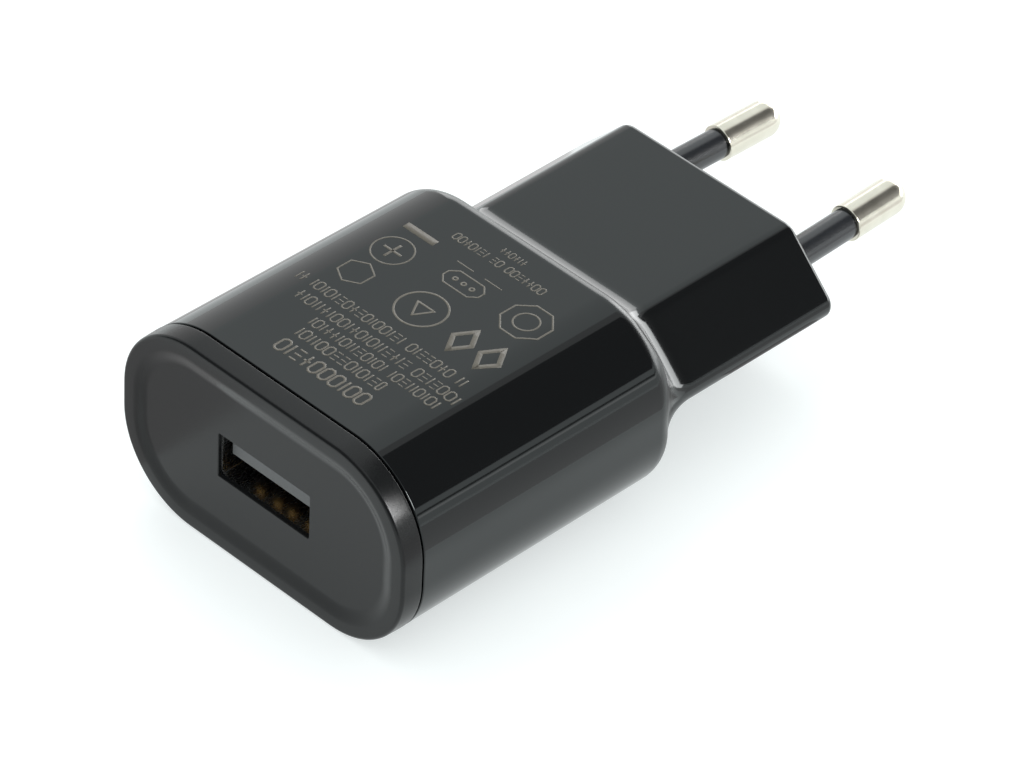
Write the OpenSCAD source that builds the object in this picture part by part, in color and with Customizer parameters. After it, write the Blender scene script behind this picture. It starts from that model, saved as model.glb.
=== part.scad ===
// A compact mains charger with one USB-A socket and a fixed two-pin plug.
// It lies flat: the socket faces -Y, the pins point to +Y, and +Z is up.
// The origin is under the middle of the whole object, on the plane that it lies on.

/* [Case] */
// Width of the wide block and of the front cap
case_w = 39.4; // [39:0.1:41]
// Height of the wide block and of the front cap
case_h = 22.4; // [22.2:0.1:24]
// Radius of the four long edges
case_r = 9.8; // [9.2:0.1:10.4]
// Length from the front rim to the step
block_len = 35.7; // [35.6:0.1:37]
// Length from the front rim to the plug's engagement face
body_len = 61.3; // [61:0.1:63]
// Wall thickness of the wide block
wall = 1.7; // [1.5:0.1:1.8]
// Radius of the block's rear edge
rear_round = 1.0; // [0.6:0.1:1.2]

/* [Front cap] */
// Depth of the cap's side, from the rim to the seam
cap_side = 2.5; // [2.4:0.1:2.8]
// Width of the seam groove
seam_gap = 0.25; // [0.1:0.05:0.4]
// Depth of the dished centre panel behind the rim
dish_depth = 0.4; // [0.2:0.05:0.5]
// Width of the flat rim around the dish
rim_w = 1.2; // [0.8:0.1:1.6]
// Radius of the cap's front edge
cap_round = 0.5; // [0.3:0.05:0.6]

/* [Plug body] */
// Width over the rounded side edges
neck_w = 35.0; // [34.6:0.1:35.4]
// Height between the flat top and bottom
neck_h = 13.7; // [13.6:0.1:14.2]
// Width of the flat top, between its sharp corners
neck_flat = 22.7; // [22.4:0.1:23]
// Radius between the flat top and the slanted sides
neck_top_r = 2.2; // [1.8:0.1:2.6]
// Wall thickness of the plug body
neck_wall = 1.6; // [1.4:0.1:1.65]
// Length of the concave sweep from the step down to the plug body
sweep_len = 5.4; // [4.6:0.1:6]

/* [Pins] */
// Diameter of the bare end of a pin
pin_d = 4.0; // [3.9:0.1:4.1]
// Length of a pin in front of the engagement face
pin_len = 19; // [18.5:0.1:19.5]
// Distance between the pin axes at the engagement face
pin_spacing = 18.6; // [18:0.1:19]
// Lean of each pin towards the other, in degrees
pin_tilt = 1.74; // [0:0.01:2]
// Diameter of the insulating sleeve
sleeve_d = 3.3; // [3.2:0.1:3.6]
// Length of the sleeve in front of the engagement face
sleeve_len = 10.7; // [10:0.1:11]

/* [USB socket] */
// Width of the window in the cap
window_w = 12.7; // [12.5:0.1:13]
// Height of the window in the cap
window_h = 5.2; // [5.1:0.1:5.4]
// Outer width of the metal shell
usb_w = 13.1; // [13:0.1:13.3]
// Outer height of the metal shell
usb_h = 5.7; // [5.6:0.1:5.8]
// Length of the metal shell
usb_len = 14; // [13:0.5:14]
// Sheet thickness of the metal shell
usb_sheet = 0.3; // [0.2:0.05:0.35]

/* [Circuit board] */
// Thickness of the board
board_t = 1.2; // [1:0.1:1.6]
// Width of the wide part of the board
board_w = 34; // [33:0.5:34]
// Width of the board's tail in the plug body
board_tail_w = 22; // [21:0.5:22]

/* [Hidden] */

$fn = 64;
hull_fn = 32;
slab = 0.02;            // thickness of the outlines that a hull joins
past = 1;               // how far a cut runs past the face that it opens
loose = 0.02;           // radial gap around an insert-moulded piece
fit_gap = 0.1;          // gap between pieces that slide together

// Places along Y
pin_reach = (pin_len - pin_d / 2) * cos(pin_tilt) + pin_d / 2;
front_y = -(body_len + pin_reach) / 2;
panel_y = front_y + dish_depth;
seam_y = front_y + cap_side;
step_y = front_y + block_len;
face_y = front_y + body_len;
mid_z = case_h / 2;     // height of the socket's centre and of the pin axes

// Front cap
panel_t = 1.6;                                  // thickness of the centre panel
cap_back_y = panel_y + panel_t;
slope_w = 1.2;                                  // width of the slope from rim to panel
skirt_t = 1.2;
skirt_len = 3;
skirt_end_y = seam_y + skirt_len;
hook_w = 5;
hook_len = 5;                                   // length of a snap arm past the skirt
hook_t = 1.2;
barb_len = 1.4;
barb_h = 0.6;
hook_x = 8;
hook_end_y = skirt_end_y + hook_len;
hook_top_z = case_h - wall - fit_gap;

// Plug body and pin seats
slant_x = neck_flat / 2 + neck_h / 2;           // where the 45 degree sides would meet
neck_side_r = (slant_x - neck_w / 2) / (sqrt(2) - 1);
neck_side_x = slant_x - neck_side_r * sqrt(2);  // centre of a round side edge
neck_top_x = slant_x - neck_h / 2 - neck_top_r * tan(22.5);
sweep_turn = 68;                                // steepest angle between the sweep and the plug's axis
sweep_steps = 4;
sweep_inset = rear_round * (1 - cos(sweep_turn));
sweep_y = step_y - rear_round * (1 - sin(sweep_turn));
face_round = 0.5;
face_wall = 2.4;
boss_len = 5;
boss_r = 3.4;
core_r = 1.3;                                   // radius of a pin inside its sleeve
flange_r = 2.5;
flange_len = 1.2;
tail_len = 3.4;                                 // bare pin tail behind its seat
seat_depth = face_wall + boss_len;

// USB socket
usb_recess = 0.5;                               // shell edge behind the panel's surface
usb_front_y = panel_y + usb_recess;
usb_back_y = usb_front_y + usb_len;
usb_corner_r = 0.6;
tongue_w = 11.1;
tongue_t = 1.84;
tongue_front_y = panel_y + 1.15;
insulator_len = 4;                              // block behind the tongue
insulator_y = usb_back_y - usb_sheet - insulator_len;
contact_w = 1;
contact_t = 0.25;
contact_places = [-3.5, -1, 1, 3.5];
contact_ridge_r = 0.5;
contact_ridge_y = tongue_front_y + 2.2;
contact_back_y = insulator_y + 3;               // where a contact turns down to the board
finger_w = 1.8;
finger_len = 6;
finger_slope = 4;
finger_side_gap = 0.4;
finger_tip_gap = 0.6;
finger_places = [-3.2, 3.2];
leg_w = 1.6;
leg_places = [usb_front_y + 4, usb_front_y + 10.5];

// Circuit board
board_top = mid_z - usb_h / 2;
board_bottom = board_top - board_t;
board_gap = 0.4;                                // between the board's edges and the case
board_front_y = cap_back_y + board_gap;
board_front_w = board_w - 4;                    // narrower where the cap's skirt surrounds it
board_wide_y = skirt_end_y + board_gap;
board_step_y = step_y - wall - board_gap;
board_end_y = face_y - seat_depth - tail_len - 1.3;
hole_gap = 0.05;                                // radial gap between a lead and its hole
lead_poke = 1;                                  // how far a lead stands out under the board
lead_end = board_bottom - lead_poke;
solder_h = 0.7;
solder_rim = 0.1;                               // solder beside a lead at the cone's tip
solder_foot = 0.45;                             // solder beside a lead on the board
rail_t = 1;
rail_gap = 0.05;
rail_x = board_w / 2 - 1;                       // inner edge of the guide rails
rail_y = skirt_end_y + hook_len + 1;            // the rails start behind the snap arms

// Transformer, with its core's middle leg along Y
core_w = 16;
core_len = 14.4;
core_t = 5;
core_leg = 2;                                   // width of an outer leg and of the yoke
core_mid_w = 4;
transformer_y = board_step_y - 1.4 - core_len / 2;
transformer_z = board_top + 6.1;
bobbin_t = 0.6;
bobbin_corner_r = 0.5;
bobbin_w = core_mid_w + 2 * (fit_gap + bobbin_t);
bobbin_h = core_t + 2 * (fit_gap + bobbin_t);
bobbin_len = core_len - 2 * core_leg - 2 * fit_gap;
flange_t = 0.7;
flange_grow = 2.8;                              // how far a bobbin flange stands out
flange_corner_r = 1;
standoff = 0.4;                                 // gap between the bobbin's rails and the board
pin_depth = 2;                                  // how far a transformer pin goes into its rail
rail_depth = 3.2;                               // depth of the bobbin's two pin rails along Y
coil_len = bobbin_len - 2 * flange_t;
primary_grow = 1.4;
secondary_grow = 2.3;
tape_grow = 2.6;
transformer_pin_r = 0.35;
transformer_pin_pitch = 3.6;
pin_rail_y = core_len / 2 - rail_depth / 2;
transformer_pin_places = [
    for (row = [-1, 1], i = [-1.5:1:1.5])
        [i * transformer_pin_pitch, transformer_y + row * pin_rail_y]
];

// Bulk capacitors, lying in the plug body
bulk_r = 3.9;
bulk_len = 13;
bulk_x = 4.1;
bulk_z = board_top + bulk_r + rail_gap;
bulk_y = step_y + 1.2;                          // end with the rubber bung
bung_r = 3.1;
bung_depth = 1.6;
bung_inset = 0.2;                               // bung face behind the can's rolled edge
can_chamfer = 0.5;
groove_depth = 0.5;
groove_y = 1.9;
bulk_lead_r = 0.3;
bulk_lead_x = 1.75;                             // half the distance between two leads
bulk_lead_y = bulk_y - 2;
lead_bend = 1;

// Output capacitors, standing beside the socket
output_r = 3.15;
output_h = 8.5;
output_base_h = 0.8;
output_foot = 0.3;                              // how far a can narrows at its foot and its top
output_base_inset = 0.2;                        // base edge inside the can's outline
output_x = 11.5;
output_y = skirt_end_y + output_r + 0.5;
output_lead_x = 1.25;

// Input choke and fuse, lying beside the bulk capacitors
side_x = 9.9;
choke_r = 1.7;
choke_len = 7;
choke_core_r = 0.9;
choke_disc_t = 1;
choke_turns_r = 1.5;
fuse_r = 1.5;
fuse_tube_r = 1.4;
fuse_len = 6;
fuse_cap_len = 1.2;
side_part_z = board_top + choke_r + 0.1;
side_part_y = step_y + 5;                       // middle of the choke and of the fuse
side_lead_run = 1.6;
side_lead_r = 0.3;
side_lead_y = [side_part_y - choke_len / 2 - side_lead_run, side_part_y + choke_len / 2 + side_lead_run];

// Mains leads
mains_r = 0.8;
mains_bare_r = 0.4;
mains_bend = mid_z - board_top;
mains_start_y = face_y - (seat_depth + tail_len) * cos(pin_tilt) - fit_gap;
mains_x = pin_spacing / 2 + (seat_depth + tail_len) * sin(pin_tilt);
mains_y = mains_start_y - mains_bend;

// Safety capacitor, standing beside the transformer
y_cap_r = 3.6;
y_cap_t = 2.6;
y_cap_edge = 0.6;                               // bevel of the disc's rim
y_cap_x = 13;
y_cap_y = transformer_y + 1;
y_cap_z = board_top + y_cap_r + 1;
y_lead_pitch = 5;

// Every round lead that goes through the board: [x, y, radius]
through_leads = concat(
    [for (p = transformer_pin_places) [p[0], p[1], transformer_pin_r]],
    [for (side = [-1, 1], i = [-1, 1]) [side * bulk_x + i * bulk_lead_x, bulk_lead_y, bulk_lead_r]],
    [for (side = [-1, 1], i = [-1, 1]) [side * output_x + i * output_lead_x, output_y, bulk_lead_r]],
    [for (side = [-1, 1], y = side_lead_y) [side * side_x, y, side_lead_r]],
    [for (i = [-1, 1]) [y_cap_x, y_cap_y + i * y_lead_pitch / 2, side_lead_r]],
    [for (side = [-1, 1]) [side * mains_x, mains_y, mains_bare_r]]
);

// Chips under the board: [x, y, length in X, length in Y, height, legs on each long side]
leg_t = 0.2;
leg_run = 1;                                    // how far a leg stands out of the package
leg_drop = 0.7;                                 // from the board down to where a leg enters the package
bridge_spec = [9, transformer_y + 1, 4.7, 4, 2.5, 2];
controller_spec = [-10, transformer_y + 1, 4.9, 3.9, 1.5, 4];
rectifier_spec = [10.6, usb_back_y - 1, 6.5, 4.6, 1.3, 3];
protocol_spec = [-1.5, usb_front_y + 7.3, 2.9, 1.6, 1.1, 3];
optocoupler_spec = [-12, usb_back_y - 1, 4.4, 3.8, 2.1, 2];
chip_specs = [bridge_spec, controller_spec, rectifier_spec, protocol_spec, optocoupler_spec];

// Small chip parts under the board, in rows: [x of the first, y, number]
chip_size = [1.6, 0.8, 0.5];
chip_pitch = 2.4;
resistor_rows = [[-14, transformer_y - 3.5, 3], [8.2, usb_front_y + 4.6, 3], [-3.6, transformer_y - 2, 4]];
capacitor_rows = [[-3.6, transformer_y + 1.5, 3], [-13, usb_front_y + 4.6, 3]];

// Insulation barrier between the mains side and the socket side
barrier_t = 0.5;
barrier_y = usb_back_y + 0.5;
barrier_w = 26;
barrier_h = 9.5;

// Solid of an outline drawn in X and Z, running from y0 over the length len.
module along_y(y0, len) {
    translate([0, y0 + len, 0])
        rotate([90, 0, 0])
            linear_extrude(len)
                children();
}

// A box standing on z0, centred on x and running from y0 to y1.
module block(x, w, y0, y1, z0, h) {
    translate([x - w / 2, y0, z0])
        cube([w, y1 - y0, h]);
}

// A rectangle with round corners, centred on the origin.
module rounded_rect(w, h, r) {
    square([w - 2 * r, h], center = true);
    square([w, h - 2 * r], center = true);
    for (sx = [-1, 1], sz = [-1, 1])
        translate([sx * (w / 2 - r), sz * (h / 2 - r)])
            circle(r);
}

// Outline of the case, moved outwards by grow.
module case_outline(grow = 0) {
    translate([0, mid_z])
        rounded_rect(case_w + 2 * grow, case_h + 2 * grow, case_r + grow);
}

// Outline of the metal socket shell, moved outwards by grow.
module usb_outline(grow = 0) {
    translate([0, mid_z])
        rounded_rect(usb_w + 2 * grow, usb_h + 2 * grow, usb_corner_r + grow);
}

// Outline of the plug body, moved outwards by grow: flat top and bottom, 45 degree sides, round edges.
module plug_outline(grow = 0) {
    top = neck_h / 2 + grow;
    slant = slant_x + grow * sqrt(2);
    top_r = max(0.2, neck_top_r + grow);
    side_r = max(0.1, neck_side_r + grow);
    tangent = top_r * tan(22.5);
    side_x0 = slant - side_r * sqrt(2);
    quarter = [
        [slant - top - tangent, top],
        [slant - top + tangent * cos(45), top - tangent * sin(45)],
        [side_x0 + side_r * cos(45), side_r * sin(45)]
    ];
    translate([0, mid_z]) {
        polygon(concat(
            quarter,
            [for (i = [2:-1:0]) [quarter[i][0], -quarter[i][1]]],
            [for (p = quarter) -p],
            [for (i = [2:-1:0]) [-quarter[i][0], quarter[i][1]]]
        ));
        for (sx = [-1, 1]) {
            translate([sx * side_x0, 0])
                circle(side_r);
            for (sz = [-1, 1])
                translate([sx * (slant - top - tangent), sz * (top - top_r)])
                    circle(top_r);
        }
    }
}

// Place between two points, at a share of the way from a to b.
function between(a, b, share) = a + (b - a) * share;

// Point of the case's upper right corner, inset by sweep_inset, that faces angle degrees from +Z.
function case_point(angle) = [
    case_w / 2 - case_r + (case_r - sweep_inset) * sin(angle),
    case_h / 2 - case_r + (case_r - sweep_inset) * cos(angle)
];

// The same for the plug body, on its upper edge and on its side edge.
function upper_point(angle) = [
    neck_top_x + neck_top_r * sin(angle),
    neck_h / 2 - neck_top_r * (1 - cos(angle))
];
function side_point(angle) = [neck_side_x + neck_side_r * sin(angle), neck_side_r * cos(angle)];

// Outline at a share of the way from the inset case to the plug body.
module sweep_outline(share) {
    quarter = concat(
        [for (a = [0:15:45]) between(case_point(a), upper_point(a), share)],
        [for (a = [60:15:90]) between(case_point(a), side_point(a), share)]
    );
    last = len(quarter) - 1;
    translate([0, mid_z])
        polygon(concat(
            quarter,
            [for (i = [last:-1:0]) [quarter[i][0], -quarter[i][1]]],
            [for (p = quarter) -p],
            [for (i = [last:-1:0]) [-quarter[i][0], quarter[i][1]]]
        ));
}

// Brings a piece drawn along +Z, from the engagement face outwards, to a pin's place.
module at_pin(side) {
    translate([side * pin_spacing / 2, face_y, mid_z])
        rotate([-90, 0, side * pin_tilt])
            children();
}

// A round lead that starts at the origin along -Y and turns down: run is its length in Y, drop in Z.
module bent_lead(run, drop, r, bend) {
    rotate([90, 0, 0])
        cylinder(h = run - bend, r = r);
    translate([0, bend - run, -bend])
        rotate([180, -90, 0])
            rotate_extrude(angle = 90)
                translate([bend, 0])
                    circle(r);
    translate([0, -run, -drop])
        cylinder(h = drop - bend, r = r);
}

// Puts children at the four snap hooks, each drawn for the top right one.
module at_hooks() {
    translate([0, 0, mid_z])
        for (sx = [0, 1], sz = [0, 1])
            mirror([sx, 0, 0])
                mirror([0, 0, sz])
                    translate([hook_x, 0, -mid_z])
                        children();
}

module cap_hook(grow = 0) {
    block(0, hook_w + 2 * grow, skirt_end_y, hook_end_y + grow, hook_top_z - hook_t, hook_t);
    block(0, hook_w + 2 * grow, hook_end_y - barb_len - grow, hook_end_y + grow,
        hook_top_z - slab, barb_h + slab);
}

// Front cap: rim, dished panel, socket window, skirt and four snap hooks.
module front_cap() {
    color("#3e3f41")
        difference() {
            union() {
                hull()
                    for (a = [0:30:90])
                        along_y(front_y + cap_round * (1 - sin(a)), slab)
                            case_outline(-cap_round * (1 - cos(a)), $fn = hull_fn);
                along_y(front_y + cap_round, cap_side - cap_round)
                    case_outline();
                along_y(seam_y - slab, skirt_len + slab)
                    case_outline(-wall - fit_gap);
                at_hooks()
                    cap_hook();
            }
            hull() {
                along_y(front_y - slab, slab)
                    case_outline(-rim_w, $fn = hull_fn);
                along_y(panel_y - slab, slab)
                    case_outline(-rim_w - slope_w, $fn = hull_fn);
            }
            along_y(cap_back_y, skirt_end_y - cap_back_y + hook_len + past)
                case_outline(-wall - fit_gap - skirt_t);
            block(0, window_w, front_y - past, cap_back_y + past, mid_z - window_h / 2, window_h);
            block(0, usb_w + 2 * fit_gap, usb_front_y, cap_back_y + past,
                mid_z - usb_h / 2 - fit_gap, usb_h + 2 * fit_gap);
        }
}

// Outer skin of the main shell: block, round rear edge, concave sweep and plug body.
module shell_skin() {
    along_y(seam_y + seam_gap, block_len - cap_side - seam_gap - rear_round)
        case_outline();
    hull()
        for (a = [0:sweep_turn / sweep_steps:sweep_turn])
            along_y(step_y - rear_round * (1 - sin(a)) - slab, slab)
                case_outline(-rear_round * (1 - cos(a)), $fn = hull_fn);
    for (i = [0:sweep_steps - 1])
        hull()
            for (a = [sweep_turn * (1 - i / sweep_steps), sweep_turn * (1 - (i + 1) / sweep_steps)])
                along_y(sweep_y + sweep_len * (1 - sin(a) / sin(sweep_turn)) - slab, slab)
                    sweep_outline(1 - (1 - cos(a)) / (1 - cos(sweep_turn)));
    along_y(step_y - slab, body_len - block_len - face_round + slab)
        plug_outline();
    hull()
        for (a = [0:30:90])
            along_y(face_y - face_round * (1 - sin(a)) - slab, slab)
                plug_outline(-face_round * (1 - cos(a)), $fn = hull_fn);
}

// Ribs along the block's side walls that hold the board's edges.
module board_rails() {
    intersection() {
        along_y(rail_y, board_step_y - rail_y)
            case_outline(slab - wall);
        for (side = [-1, 1], z = [board_bottom - rail_t - rail_gap, board_top + rail_gap])
            block(side * (case_w / 2 + rail_x) / 2, case_w / 2 - rail_x, front_y, step_y, z, rail_t);
    }
}

// Main shell: a hollow block and plug body in one piece, with seats for the pins.
module main_shell() {
    color("#151617")
        difference() {
            union() {
                difference() {
                    shell_skin();
                    along_y(seam_y, block_len - cap_side - wall)
                        case_outline(-wall);
                    along_y(step_y - wall - past, body_len - block_len + wall + past - face_wall)
                        plug_outline(-neck_wall);
                }
                board_rails();
                for (side = [-1, 1])
                    at_pin(side)
                        translate([0, 0, -seat_depth])
                            cylinder(h = seat_depth - face_wall / 2, r = boss_r);
            }
            for (side = [-1, 1])
                at_pin(side)
                    translate([0, 0, -seat_depth - past]) {
                        cylinder(h = seat_depth + 2 * past, r = sleeve_d / 2 + loose);
                        cylinder(h = flange_len + past + loose, r = flange_r + loose);
                    }
            at_hooks()
                block(0, hook_w + 2 * fit_gap, hook_end_y - barb_len - fit_gap, hook_end_y + fit_gap,
                    hook_top_z, barb_h + 2 * fit_gap);
        }
}

// Plated pin: bare round end, waist under the sleeve, flange in its seat and solder tail.
module plug_pin(side) {
    color("#d8d2c2")
        at_pin(side) {
            translate([0, 0, sleeve_len])
                cylinder(h = pin_len - pin_d / 2 - sleeve_len, d = pin_d);
            translate([0, 0, pin_len - pin_d / 2])
                sphere(d = pin_d);
            translate([0, 0, -seat_depth - tail_len])
                cylinder(h = seat_depth + tail_len + sleeve_len, r = core_r);
            translate([0, 0, -seat_depth])
                cylinder(h = flange_len, r = flange_r);
        }
}

module pin_sleeve(side) {
    color("#1b1d21")
        at_pin(side)
            translate([0, 0, flange_len - seat_depth])
                difference() {
                    cylinder(h = seat_depth - flange_len + sleeve_len, d = sleeve_d);
                    translate([0, 0, -past])
                        cylinder(h = seat_depth - flange_len + sleeve_len + 2 * past, r = core_r);
                }
}

// Short insulated wire from a pin's tail down to the board, with its bare end through the board.
module mains_lead(side) {
    color("#7a1f1c")
        translate([side * mains_x, mains_start_y, mid_z]) {
            bent_lead(mains_bend, mains_bend, mains_r, mains_bend - slab);
            translate([0, -mains_bend, lead_end - mid_z])
                cylinder(h = board_top - lead_end + slab, r = mains_bare_r);
        }
}

// One spring finger cut into the socket shell's roof.
module roof_finger(x) {
    translate([x - finger_w / 2, insulator_y - loose, mid_z + usb_h / 2 - usb_sheet])
        rotate([finger_slope, 0, 0])
            translate([0, -finger_len, 0])
                cube([finger_w, finger_len, usb_sheet]);
}

// Folded steel shell of the socket, open in front and partly open under its back.
module usb_shell() {
    color("#b9bcc0") {
        difference() {
            along_y(usb_front_y, usb_len)
                usb_outline();
            along_y(usb_front_y - past, usb_len + past - usb_sheet)
                usb_outline(-usb_sheet);
            for (x = finger_places)
                block(x, finger_w + 2 * finger_side_gap, insulator_y - finger_len - finger_tip_gap,
                    insulator_y - usb_sheet, mid_z, usb_h);
            block(0, tongue_w, insulator_y, usb_back_y + past, board_top - past, past + usb_sheet + slab);
        }
        for (x = finger_places)
            roof_finger(x);
        for (side = [-1, 1], y = leg_places)
            block(side * (usb_w - usb_sheet) / 2, usb_sheet, y, y + leg_w, lead_end, mid_z - lead_end);
    }
}

// Strips of the four socket contacts, widened by grow to cut their seats.
module contact_strips(grow = 0) {
    for (x = contact_places) {
        block(x, contact_w + 2 * grow, tongue_front_y + contact_w, contact_back_y,
            mid_z - contact_t - grow, contact_t + 2 * grow);
        block(x, contact_w + 2 * grow, contact_back_y - contact_t - grow, contact_back_y + grow,
            lead_end, mid_z - lead_end);
    }
}

// Plastic tongue and block that hold the socket's contacts.
module usb_insulator() {
    color("#2c2d30")
        difference() {
            union() {
                block(0, tongue_w, tongue_front_y, insulator_y + slab, mid_z, tongue_t);
                along_y(insulator_y, insulator_len)
                    usb_outline(-usb_sheet - loose);
                block(0, tongue_w - 2 * loose, insulator_y + loose, insulator_y + insulator_len,
                    board_top, usb_h / 2);
            }
            contact_strips(loose);
        }
}

// Four plated contacts under the tongue, with tails through the board.
module usb_contacts() {
    color("#d9a441") {
        contact_strips();
        for (x = contact_places)
            translate([x - contact_w / 2, contact_ridge_y, mid_z - contact_t])
                rotate([0, 90, 0])
                    difference() {
                        cylinder(h = contact_w, r = contact_ridge_r);
                        translate([-2 * contact_ridge_r, -contact_ridge_r, -past])
                            cube([2 * contact_ridge_r, 2 * contact_ridge_r, contact_w + 2 * past]);
                    }
    }
}

// Board: a wide part in the block and a tail in the plug body, drilled for every lead.
module circuit_board() {
    color("#2a6b45")
        difference() {
            union() {
                block(0, board_front_w, board_front_y, board_wide_y + past, board_bottom, board_t);
                block(0, board_w, board_wide_y, board_step_y, board_bottom, board_t);
                block(0, board_tail_w, board_step_y - past, board_end_y, board_bottom, board_t);
            }
            for (lead = through_leads)
                translate([lead[0], lead[1], board_bottom - past])
                    cylinder(h = board_t + 2 * past, r = lead[2] + hole_gap);
            for (side = [-1, 1], y = leg_places)
                block(side * (usb_w - usb_sheet) / 2, usb_sheet + 2 * fit_gap,
                    y - fit_gap, y + leg_w + fit_gap, board_bottom - past, board_t + 2 * past);
            for (x = contact_places)
                block(x, contact_w + 2 * fit_gap, contact_back_y - contact_t - fit_gap,
                    contact_back_y + fit_gap, board_bottom - past, board_t + 2 * past);
        }
}

// One E-shaped ferrite half; side -1 is the front half and 1 the rear half.
module core_half(side) {
    color("#3b3b3d")
        translate([0, transformer_y, transformer_z])
            mirror([0, side < 0 ? 1 : 0, 0])
                difference() {
                    block(0, core_w, 0, core_len / 2, -core_t / 2, core_t);
                    for (sx = [-1, 1])
                        block(sx * (core_mid_w + core_w - 2 * core_leg) / 4,
                            (core_w - 2 * core_leg - core_mid_w) / 2,
                            -past, core_len / 2 - core_leg, -core_t / 2 - past, core_t + 2 * past);
                }
}

// Outline of the bobbin's tube, moved outwards by grow.
module bobbin_outline(grow, corner_r) {
    translate([0, transformer_z])
        rounded_rect(bobbin_w + 2 * grow, bobbin_h + 2 * grow, corner_r);
}

// A rounded sleeve around the bobbin's tube, from one size to another.
module coil_layer(inner_grow, outer_grow, len) {
    difference() {
        along_y(transformer_y - len / 2, len)
            bobbin_outline(outer_grow, outer_grow + bobbin_corner_r);
        along_y(transformer_y - len / 2 - past, len + 2 * past)
            bobbin_outline(inner_grow, inner_grow + bobbin_corner_r);
    }
}

// Bobbin: a square tube with two flanges and two rails that carry the pins.
module transformer_bobbin() {
    color("#1d1d1f")
        difference() {
            union() {
                along_y(transformer_y - bobbin_len / 2, bobbin_len)
                    bobbin_outline(0, bobbin_corner_r);
                for (side = [-1, 1]) {
                    along_y(transformer_y + side * (bobbin_len - flange_t) / 2 - flange_t / 2, flange_t)
                        bobbin_outline(flange_grow, flange_corner_r);
                    rail_middle = transformer_y + side * pin_rail_y;
                    block(0, core_w - core_leg, rail_middle - rail_depth / 2, rail_middle + rail_depth / 2,
                        board_top + standoff, transformer_z - core_t / 2 - board_top - standoff - fit_gap);
                }
            }
            block(0, core_mid_w + 2 * fit_gap, transformer_y - core_len, transformer_y + core_len,
                transformer_z - core_t / 2 - fit_gap, core_t + 2 * fit_gap);
            for (p = transformer_pin_places)
                translate([p[0], p[1], board_top])
                    cylinder(h = pin_depth, r = transformer_pin_r);
            along_y(transformer_y - coil_len / 2, coil_len)
                translate([0, transformer_z])
                    difference() {
                        square([core_w, 2 * core_w], center = true);
                        rounded_rect(bobbin_w, bobbin_h, bobbin_corner_r);
                    }
        }
}

module primary_winding() {
    color("#9a4a25")
        coil_layer(0, primary_grow, coil_len);
}

module secondary_winding() {
    color("#d9c98a")
        coil_layer(primary_grow, secondary_grow, coil_len);
}

module transformer_tape() {
    color("#e3c23c")
        coil_layer(secondary_grow, tape_grow, coil_len);
}

module transformer_pins() {
    color("#c9ccd0")
        for (p = transformer_pin_places)
            translate([p[0], p[1], lead_end])
                cylinder(h = board_top + pin_depth - lead_end, r = transformer_pin_r);
}

// Electrolytic can lying along Y, rolled in around its bung at the front end.
module bulk_capacitor(side) {
    color("#23262b")
        translate([side * bulk_x, bulk_y, bulk_z])
            rotate([-90, 0, 0])
                difference() {
                    rotate_extrude()
                        polygon([
                            [0, 0], [bulk_r - can_chamfer, 0], [bulk_r, can_chamfer],
                            [bulk_r, groove_y - groove_depth], [bulk_r - groove_depth, groove_y],
                            [bulk_r, groove_y + groove_depth],
                            [bulk_r, bulk_len - can_chamfer], [bulk_r - can_chamfer, bulk_len], [0, bulk_len]
                        ]);
                    translate([0, 0, -past])
                        cylinder(h = past + bung_depth, r = bung_r);
                }
}

module bulk_capacitor_bungs() {
    color("#101012")
        for (side = [-1, 1])
            translate([side * bulk_x, bulk_y + bung_inset, bulk_z])
                rotate([-90, 0, 0])
                    difference() {
                        cylinder(h = bung_depth - bung_inset, r = bung_r);
                        for (i = [-1, 1])
                            translate([i * bulk_lead_x, 0, -past])
                                cylinder(h = bung_depth + past, r = bulk_lead_r);
                    }
}

module bulk_capacitor_leads() {
    color("#c9ccd0")
        for (side = [-1, 1], i = [-1, 1])
            translate([side * bulk_x + i * bulk_lead_x, bulk_y + bung_depth, bulk_z])
                bent_lead(bulk_y + bung_depth - bulk_lead_y, bulk_z - lead_end, bulk_lead_r, lead_bend);
}

// Two standing cans of the output filter.
module output_capacitors() {
    color("#c5c9ce")
        for (side = [-1, 1])
            translate([side * output_x, output_y, board_top + output_base_h])
                rotate_extrude()
                    polygon([
                        [0, 0], [output_r - output_foot, 0], [output_r - output_foot, output_foot],
                        [output_r, 2 * output_foot], [output_r, output_h - output_foot],
                        [output_r - output_foot, output_h], [0, output_h]
                    ]);
}

module output_capacitor_bases() {
    color("#26282b")
        for (side = [-1, 1])
            translate([side * output_x, output_y, board_top]) {
                cylinder(h = output_base_h, r = output_r - output_base_inset);
                for (i = [-1, 1])
                    translate([i * output_lead_x, 0, lead_end - board_top])
                        cylinder(h = board_top - lead_end + slab, r = bulk_lead_r);
            }
}

// Drum-shaped ferrite of the input choke, with its two leads.
module input_choke_core() {
    end = choke_len / 2;
    disc = end - choke_disc_t;
    color("#4a4a4d")
        translate([-side_x, side_part_y, side_part_z]) {
            rotate([90, 0, 0])
                rotate_extrude()
                    polygon([
                        [0, -end], [choke_r, -end], [choke_r, -disc], [choke_core_r, -disc],
                        [choke_core_r, disc], [choke_r, disc], [choke_r, end], [0, end]
                    ]);
            side_leads(choke_len);
        }
}

// The two bent leads of a part that lies along Y, drawn from the part's middle.
module side_leads(len) {
    run = side_lead_run + (choke_len - len) / 2 + slab;
    for (side = [0, 1])
        mirror([0, side, 0])
            translate([0, slab - len / 2, 0])
                bent_lead(run, side_part_z - lead_end, side_lead_r, lead_bend);
}

module input_choke_winding() {
    color("#a4532a")
        translate([-side_x, side_part_y, side_part_z])
            rotate([90, 0, 0])
                difference() {
                    cylinder(h = choke_len - 2 * choke_disc_t, r = choke_turns_r, center = true);
                    cylinder(h = choke_len, r = choke_core_r, center = true);
                }
}

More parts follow.
